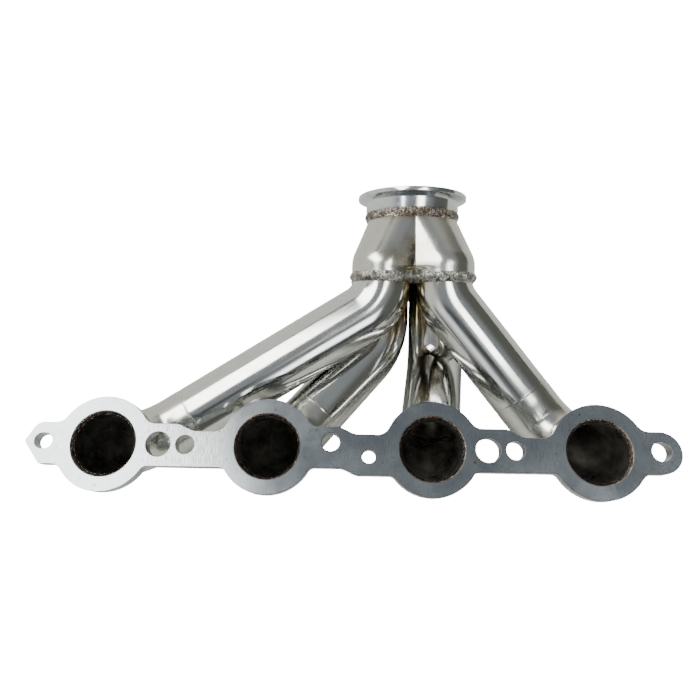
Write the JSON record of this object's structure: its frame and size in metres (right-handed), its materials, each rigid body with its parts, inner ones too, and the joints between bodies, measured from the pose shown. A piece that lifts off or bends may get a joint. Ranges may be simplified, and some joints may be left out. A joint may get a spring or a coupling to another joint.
{
  "type": "exhaust manifold",
  "caption": "Welded tubular exhaust manifold: bent primary tubes run from a flat head flange into a lobed merge collector with a V-band outlet flange.",
  "frame": {"origin": "centre of the head flange's mating face, on the line of port centres, midway between the two middle ports", "axes": "+X along the row of ports, +Y from the flange towards the collector, +Z out of the mating face, towards the cylinder head"},
  "size_m": [0.4439, 0.2452, 0.1207],
  "materials": {
    "flange_plate": "flat ground plate, dull blue-grey",
    "satin_tube": "satin mandrel-bent tube with small dents",
    "polished_tube": "mirror-polished stainless",
    "collector_shell": "polished stainless with straw heat tint in the valleys",
    "machined_flange": "turned and polished",
    "weld_ground": "weld ground nearly flush",
    "weld_metal": "rippled grey weld bead",
    "weld_tinted": "rippled bead with copper and straw heat tint"
  },
  "bodies": {
    "root": {"head_flange": "flange_plate", "port_bend_1": "satin_tube", "runner_1": "polished_tube", "butt_weld_1": "weld_ground", "port_weld_1": "weld_metal", "port_seal_weld_1": "weld_metal", "collector_lobe_1": "collector_shell", "collector_inlet_weld_1": "weld_metal", "port_bend_2": "satin_tube", "runner_2": "polished_tube", "butt_weld_2": "weld_ground", "port_weld_2": "weld_metal", "port_seal_weld_2": "weld_metal", "collector_lobe_2": "collector_shell", "collector_inlet_weld_2": "weld_metal", "port_bend_3": "satin_tube", "runner_3": "polished_tube", "butt_weld_3": "weld_ground", "port_weld_3": "weld_metal", "port_seal_weld_3": "weld_metal", "collector_lobe_3": "collector_shell", "collector_inlet_weld_3": "weld_metal", "port_bend_4": "satin_tube", "runner_4": "polished_tube", "butt_weld_4": "weld_ground", "port_weld_4": "weld_metal", "port_seal_weld_4": "weld_metal", "collector_lobe_4": "collector_shell", "collector_inlet_weld_4": "weld_metal", "collector_star_plate": "satin_tube", "vband_flange": "machined_flange", "outlet_weld": "weld_tinted", "collector_seam_weld_front": "weld_ground", "collector_seam_weld_rear": "weld_ground", "collector_seam_weld_left": "weld_ground", "collector_seam_weld_right": "weld_ground"}
  },
  "joints": []
}
